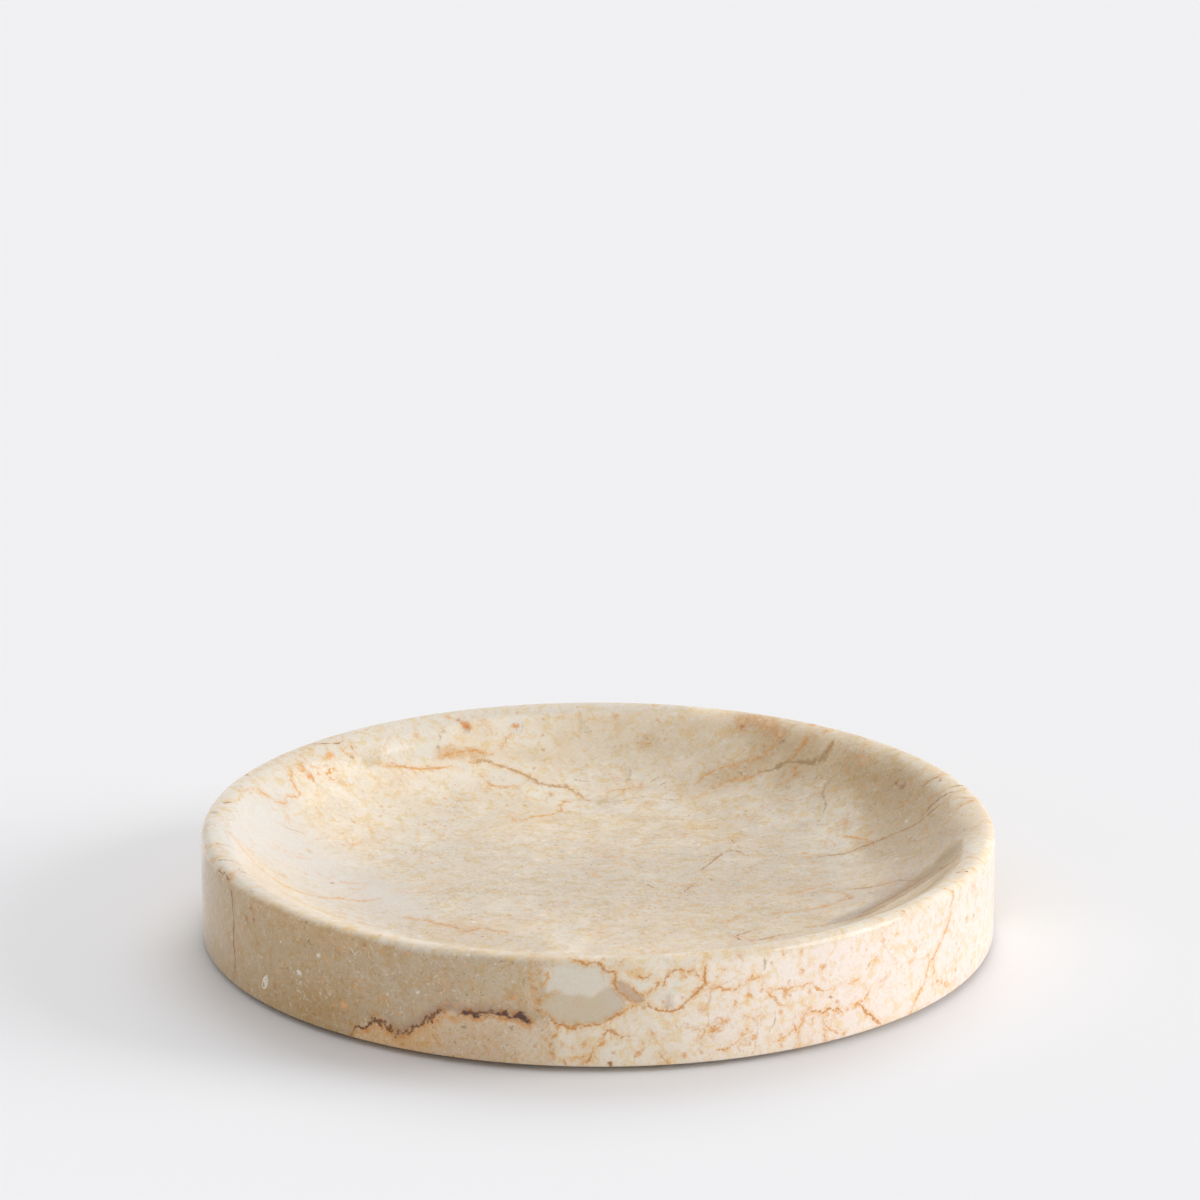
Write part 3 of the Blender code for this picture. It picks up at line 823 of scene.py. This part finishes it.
def region_tints(points):
    """The colours of the stains and of the patches of painted shade, light and sheen at each vertex, with
    their cover in the fourth value, and how thick the flecks are.

    The wall's side that the view doesn't reach repeats the near side, half a turn round.
    """
    radius = np.hypot(points[:, 0], points[:, 1])
    below_rim = np.clip((STONE_HIGH.z - points[:, 2]) / RIM_BLEND, 0.0, 1.0)
    on_wall = np.where(radius > STONE_HIGH.x - RIM_BLEND, below_rim, 0.0)
    behind = (on_wall > 0.0) & (points[:, 1] > 0.0)
    pixels = pixels_of(np.where(behind[:, None], points * np.array((-1.0, -1.0, 1.0)), points))
    turn = np.arctan2(np.abs(points[:, 1]), np.abs(points[:, 0]))
    toward = np.clip((turn + EDGE_WAVER * np.sin(points[:, 2] / EDGE_WAVE)) / EDGE_TURN, 0.0, 1.0)
    in_hollow = np.where(behind, 0.0, 1.0 - on_wall)
    tints = np.zeros((len(points), 4))
    flecks = np.full(len(points), GROUND_FLECKS)
    for regions, side in ((WALL_REGIONS, on_wall * toward), (HOLLOW_REGIONS, in_hollow)):
        for region in regions.values():
            depth = depth_inside(pixels, region.outline)
            cover = np.clip(0.5 + depth / (2 * region.edge), 0.0, 1.0) * region.strength * side
            total = cover + tints[:, 3] * (1 - cover)
            share = np.divide(cover, total, out=np.zeros_like(cover), where=total > 0)[:, None]
            tints[:, :3] = tints[:, :3] * (1 - share) + np.array(shown(*region.colour)) * share
            tints[:, 3] = total
            flecks += (region.flecks - flecks) * cover
    return tints, flecks


def store(mesh, name, kind, values):
    """Keep one value a vertex on the mesh."""
    attribute = mesh.attributes.new(name, kind, "POINT")
    field = {"FLOAT": "value", "FLOAT_COLOR": "color", "FLOAT_VECTOR": "vector"}[kind]
    attribute.data.foreach_set(field, values.ravel())


# Node helpers
def new_material(name):
    """A material with its node tree and its Principled shader's inputs."""
    material = bpy.data.materials.new(name)
    material.use_nodes = True
    return material, material.node_tree, material.node_tree.nodes["Principled BSDF"].inputs


def node(tree, kind, values=None, **settings):
    """A node with its settings, and the values or links given for its inputs."""
    made = tree.nodes.new(kind)
    for key, value in settings.items():
        setattr(made, key, value)
    for key, value in (values or {}).items():
        if isinstance(value, bpy.types.NodeSocket):
            tree.links.new(value, made.inputs[key])
        else:
            made.inputs[key].default_value = value
    return made


def noise(tree, place, name, output="Fac"):
    """One of the noise fields."""
    field = FIELDS[name]
    return node(tree, "ShaderNodeTexNoise", {
        "Vector": place, "Scale": field.scale, "Detail": field.detail, "Roughness": field.roughness,
        "Distortion": field.distortion}).outputs[output]


def stored(tree, name):
    """The outputs of one of the values kept on the mesh."""
    return node(tree, "ShaderNodeAttribute", attribute_name=name).outputs


def ramped(tree, value, ramp, shape="SMOOTHSTEP"):
    """Value moved along a ramp, smoothly unless shape is LINEAR."""
    return node(tree, "ShaderNodeMapRange", {
        "Value": value, "From Min": ramp.low, "From Max": ramp.high, "To Min": ramp.out_low,
        "To Max": ramp.out_high}, interpolation_type=shape).outputs["Result"]


def times(tree, first, second):
    """Two values multiplied."""
    return node(tree, "ShaderNodeMath", {0: first, 1: second}, operation="MULTIPLY").outputs[0]


def vector(tree, operation, *values):
    """The vector that a vector operation gives."""
    return node(tree, "ShaderNodeVectorMath", dict(enumerate(values)), operation=operation).outputs[0]


def mixed(tree, share, first, second, blend="MIX"):
    """The second colour laid over the first, by share."""
    first, second = (one if isinstance(one, bpy.types.NodeSocket) else (*one, 1.0) for one in (first, second))
    return node(tree, "ShaderNodeMix", {0: share, 6: first, 7: second}, data_type="RGBA",
                blend_type=blend).outputs[2]


# Materials
def vein_group():
    """A group that turns one layer's attributes into a line mask and a speckled halo mask."""
    group = bpy.data.node_groups.new("stone_line", "ShaderNodeTree")
    for side, kind, names in (("INPUT", "Vector", ("Reach", "Form", "Wander")),
                              ("INPUT", "Float", ("Strength", "Breaks", "Flecks")),
                              ("OUTPUT", "Float", ("Line", "Halo"))):
        for name in names:
            group.interface.new_socket(name, in_out=side, socket_type=f"NodeSocket{kind}")
    given = group.nodes.new("NodeGroupInput").outputs
    form = node(group, "ShaderNodeSeparateXYZ", {0: given["Form"]}).outputs
    shift = node(group, "ShaderNodeVectorMath", {0: given["Wander"], "Scale": form["Y"]}, operation="SCALE")
    moved = vector(group, "ADD", given["Reach"], shift.outputs[0])
    gap = node(group, "ShaderNodeVectorMath", {0: moved}, operation="LENGTH").outputs["Value"]
    width = times(group, form["X"], ramped(group, given["Breaks"], WIDTH_RAMP))
    core, edge = times(group, width, LINE_CORE), times(group, width, LINE_EDGE)
    line = times(group, ramped(group, gap, Ramp(core, edge, 1.0, 0.0)),
                 ramped(group, given["Breaks"], LINE_BREAKS))
    line = times(group, line, ramped(group, given["Flecks"], LINE_FLECKS))
    halo = ramped(group, gap, Ramp(0.0, HALO_REACH, form["Z"], 0.0))
    halo = times(group, halo, ramped(group, given["Flecks"], HALO_FLECKS))
    out = group.nodes.new("NodeGroupOutput").inputs
    for name, mask in (("Line", line), ("Halo", halo)):
        group.links.new(times(group, mask, given["Strength"]), out[name])
    return group


def ground_colour(tree, place, colours, flecks):
    """The stone without its lines: clouds, stained pieces and patches of painted shade, light and sheen,
    shell, iron flecks and grain.
    """
    region = stored(tree, "region_tint")
    ragged = noise(tree, place, "ragged")
    reach = node(tree, "ShaderNodeMath", {0: ragged, 1: COVER_RAGGED, 2: region["Alpha"]},
                 operation="MULTIPLY_ADD").outputs[0]
    covered = times(tree, ramped(tree, reach, COVER_RAMP), ramped(tree, region["Alpha"], COVER_START))
    clouds = ramped(tree, noise(tree, place, "clouds"), CLOUD_RAMP)
    ground = mixed(tree, clouds, tuple(colours.cream), tuple(colours.tan))
    ground = mixed(tree, covered, ground, region["Color"])

    share = stored(tree, "fleck_share")["Fac"]
    rough = ramped(tree, share, ROUGH_RAMP)
    masks = {
        "bare": ramped(tree, covered, BARE_RAMP, "LINEAR"),
        "rough": rough,
        "worn": times(tree, times(tree, covered, rough), ramped(tree, region["Color"], TAN_RAMP)),
        "crowded": times(tree, share, ramped(tree, noise(tree, place, "crowds"), CROWD_RAMP)),
    }
    for layer in GROUND_LAYERS:
        field = flecks if layer.field == "flecks" else noise(tree, place, layer.field)
        mask = ramped(tree, field, Ramp(layer.low, layer.high, 0.0, layer.amount))
        if layer.mask:
            mask = times(tree, mask, masks[layer.mask])
        ground = mixed(tree, mask, ground, tuple(getattr(colours, layer.colour)), layer.blend)

    for speck in SPECKS:
        loose = noise(tree, place, "speck_bend", "Color")
        bent = node(tree, "ShaderNodeMix", {0: SPECK_BEND, 4: place, 5: loose}, data_type="VECTOR").outputs[1]
        cells = node(tree, "ShaderNodeTexVoronoi", {"Vector": bent, "Scale": speck.scale}).outputs
        pick = node(tree, "ShaderNodeSeparateXYZ", {0: cells["Color"]}).outputs["X"]
        spot = Ramp(speck.size * SPECK_CORE, speck.size * SPECK_EDGE, 1.0, 0.0)
        dots = times(tree, ramped(tree, cells["Distance"], spot),
                     ramped(tree, pick, Ramp(speck.rarity, speck.rarity + RARITY_STEP)))
        dots = times(tree, times(tree, dots, rough), speck.amount)
        ground = mixed(tree, dots, ground, tuple(getattr(colours, speck.colour)))
    grain = ramped(tree, noise(tree, place, "grain"), GRAIN_RAMP, "LINEAR")
    return mixed(tree, 1.0, ground, grain, "MULTIPLY")


def marble_material(colours, layer_count):
    """Polished cream and tan marble: its ground, a fine web of iron veins, and the lines laid on it."""
    material, tree, shader = new_material("polished_marble")
    place = node(tree, "ShaderNodeTexCoord").outputs["Object"]
    facing = node(tree, "ShaderNodeTexCoord").outputs["Normal"]
    flecks = noise(tree, place, "flecks")
    painted = ground_colour(tree, place, colours, flecks)

    bend = vector(tree, "MULTIPLY_ADD", noise(tree, place, "web_bend", "Color"), (WEB_BEND,) * 3, place)
    edges = node(tree, "ShaderNodeTexVoronoi", {"Vector": bend, "Scale": WEB_SCALE},
                 feature="DISTANCE_TO_EDGE").outputs
    web = times(tree, ramped(tree, edges["Distance"], WEB_RAMP),
                ramped(tree, noise(tree, place, "web_patches"), WEB_PATCHES))
    web = times(tree, web, ramped(tree, flecks, WEB_FLECKS))
    painted = mixed(tree, web, painted, tuple(colours.orange))

    # The lines wander along the surface only
    loose = vector(tree, "SUBTRACT", noise(tree, place, "wander", "Color"), (0.5, 0.5, 0.5))
    wander = vector(tree, "SUBTRACT", loose, vector(tree, "PROJECT", loose, facing))
    breaks = noise(tree, place, "breaks")
    group = vein_group()
    for number in range(layer_count):
        reach, form, tint = (stored(tree, f"line_{part}_{number}") for part in ("reach", "form", "tint"))
        vein = node(tree, "ShaderNodeGroup", {
            "Reach": reach["Vector"], "Form": form["Vector"], "Strength": tint["Alpha"], "Wander": wander,
            "Breaks": breaks, "Flecks": flecks}, node_tree=group).outputs
        painted = mixed(tree, vein["Halo"], painted, tuple(colours.halo), "MULTIPLY")
        painted = mixed(tree, vein["Line"], painted, tint["Color"])
    tree.links.new(painted, shader["Base Color"])
    tree.links.new(ramped(tree, flecks, GLOSS_RAMP), shader["Roughness"])
    return material


def felt_material(colours):
    """Pressed wool: short crossing fibres, paler and darker, and no gloss."""
    material, tree, shader = new_material("wool_felt")
    place = node(tree, "ShaderNodeTexCoord").outputs["Object"]
    fibres = noise(tree, place, "fibres")
    felt = tuple(colours.felt)
    dark = tuple(value * FELT_SHADE for value in felt)
    wool = mixed(tree, ramped(tree, fibres, FIBRE_RAMP), dark, felt)
    wool = mixed(tree, ramped(tree, noise(tree, place, "tufts"), TUFT_RAMP), wool, dark)
    bump = node(tree, "ShaderNodeBump", {"Height": fibres, "Strength": FIBRE_BUMP, "Distance": FIBRE_HEIGHT})
    tree.links.new(wool, shader["Base Color"])
    tree.links.new(bump.outputs["Normal"], shader["Normal"])
    shader["Roughness"].default_value = FELT_ROUGHNESS
    shader["Sheen Weight"].default_value = FELT_SHEEN
    return material


class BOWL_OT_stone(bpy.types.Operator):
    """Turn the stone and lay its pattern on it"""
    bl_idname = "bowl.stone"
    bl_label = "Make the stone"

    def execute(self, context):
        mesh, tree = turned_stone(context.scene.bowl_sizes)
        points = np.empty(len(mesh.vertices) * 3)
        mesh.vertices.foreach_get("co", points)
        points = points.reshape(-1, 3)
        layers = lay_marks(points, tree)
        for number, layer in enumerate(layers):
            store(mesh, f"line_reach_{number}", "FLOAT_VECTOR", layer.reach)
            store(mesh, f"line_form_{number}", "FLOAT_VECTOR", layer.form)
            store(mesh, f"line_tint_{number}", "FLOAT_COLOR", layer.tint)
        tints, flecks = region_tints(points)
        store(mesh, "region_tint", "FLOAT_COLOR", tints)
        store(mesh, "fleck_share", "FLOAT", flecks)
        stone = bpy.data.objects.new("stone", mesh)
        context.scene.collection.objects.link(stone)
        mesh.materials.append(marble_material(context.scene.bowl_colours, len(layers)))
        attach(stone, "root")
        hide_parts("marble_bowl")
        return {"FINISHED"}


class BOWL_OT_pads(bpy.types.Operator):
    """Give the frame's pads their felt"""
    bl_idname = "bowl.pads"
    bl_label = "Finish the pads"

    def execute(self, context):
        material = felt_material(context.scene.bowl_colours)
        for name in PADS:
            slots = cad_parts[name].data.materials
            slots.clear()
            slots.append(material)
        return {"FINISHED"}


def add_lamp(scene, name, lamp, share, mirrored=False):
    """A distant lamp that gives a level floor this share of a white floor's full light.

    The lamps that light the scene stand for broad screens whose edges don't show, so gloss doesn't
    mirror them, and a mirrored one shows in the gloss only.
    """
    light = bpy.data.lights.new(name, "SUN")
    light.energy = share * math.pi / math.sin(lamp.elevation)
    light.angle = lamp.spread
    made = bpy.data.objects.new(name, light)
    made.rotation_euler = Euler((math.pi / 2 - lamp.elevation, 0.0, math.pi / 2 + lamp.azimuth))
    made.visible_glossy = mirrored
    made.visible_diffuse = not mirrored
    scene.collection.objects.link(made)


class BOWL_OT_studio(bpy.types.Operator):
    """Set up the floor, the light and the camera"""
    bl_idname = "bowl.studio"
    bl_label = "Make the studio"

    def execute(self, context):
        scene = context.scene
        studio = scene.bowl_studio
        shape = bmesh.new()
        bmesh.ops.create_grid(shape, x_segments=1, y_segments=1, size=studio.floor_reach)
        mesh = bpy.data.meshes.new("studio_floor")
        shape.to_mesh(mesh)
        shape.free()
        floor = bpy.data.objects.new("studio_floor", mesh)
        scene.collection.objects.link(floor)
        material, _, shader = new_material("studio_floor")
        shader["Base Color"].default_value = (*studio.floor_colour, 1.0)
        shader["Roughness"].default_value = 1.0
        shader["Specular IOR Level"].default_value = 0.0
        mesh.materials.append(material)

        world = bpy.data.worlds.new("studio_sky")
        world.use_nodes = True
        tree = world.node_tree
        sky = tree.nodes["Background"].inputs
        sky["Color"].default_value = (1.0, 1.0, 1.0, 1.0)
        glossy = tree.nodes.new("ShaderNodeLightPath").outputs["Is Glossy Ray"]
        strengths = Ramp(0.0, 1.0, studio.sky_strength, studio.backdrop_strength)
        tree.links.new(ramped(tree, glossy, strengths, "LINEAR"), sky["Strength"])
        scene.world = world

        add_lamp(scene, "side_lamp", SIDE_LAMP, studio.side_share)
        add_lamp(scene, "back_lamp", BACK_LAMP, studio.back_share)
        add_lamp(scene, "glint_lamp", GLINT_LAMP, studio.glint_share, mirrored=True)

        lens = bpy.data.cameras.new("view")
        lens.sensor_width = SENSOR_WIDTH
        lens.lens = SENSOR_WIDTH * FOCAL_PIXELS / VIEW_PIXELS
        camera = bpy.data.objects.new("view", lens)
        place, turn = camera_place()
        camera.location = place
        camera.rotation_euler = turn.to_euler()
        scene.collection.objects.link(camera)
        scene.camera = camera
        scene.view_settings.view_transform = "Standard"
        return {"FINISHED"}


class BOWL_PT_sidebar(bpy.types.Panel):
    """The bowl's sizes, colours and studio"""
    bl_idname = "BOWL_PT_sidebar"
    bl_label = "Marble bowl"
    bl_space_type = "VIEW_3D"
    bl_region_type = "UI"
    bl_category = "Bowl"

    def draw(self, context):
        for group in (context.scene.bowl_sizes, context.scene.bowl_colours, context.scene.bowl_studio):
            box = self.layout.box()
            for name in group.__annotations__:
                box.prop(group, name)
        for operator in (BOWL_OT_stone, BOWL_OT_pads, BOWL_OT_studio):
            self.layout.operator(operator.bl_idname)


CLASSES = (BowlSizes, StoneColours, StudioSettings, BOWL_OT_stone, BOWL_OT_pads, BOWL_OT_studio,
           BOWL_PT_sidebar)


def register():
    for one in CLASSES:
        bpy.utils.register_class(one)
    bpy.types.Scene.bowl_sizes = PointerProperty(type=BowlSizes)
    bpy.types.Scene.bowl_colours = PointerProperty(type=StoneColours)
    bpy.types.Scene.bowl_studio = PointerProperty(type=StudioSettings)


def unregister():
    del bpy.types.Scene.bowl_sizes
    del bpy.types.Scene.bowl_colours
    del bpy.types.Scene.bowl_studio
    for one in reversed(CLASSES):
        bpy.utils.unregister_class(one)


def main():
    register()
    bpy.ops.bowl.stone()
    bpy.ops.bowl.pads()
    bpy.ops.bowl.studio()


if __name__ == "__main__":
    main()
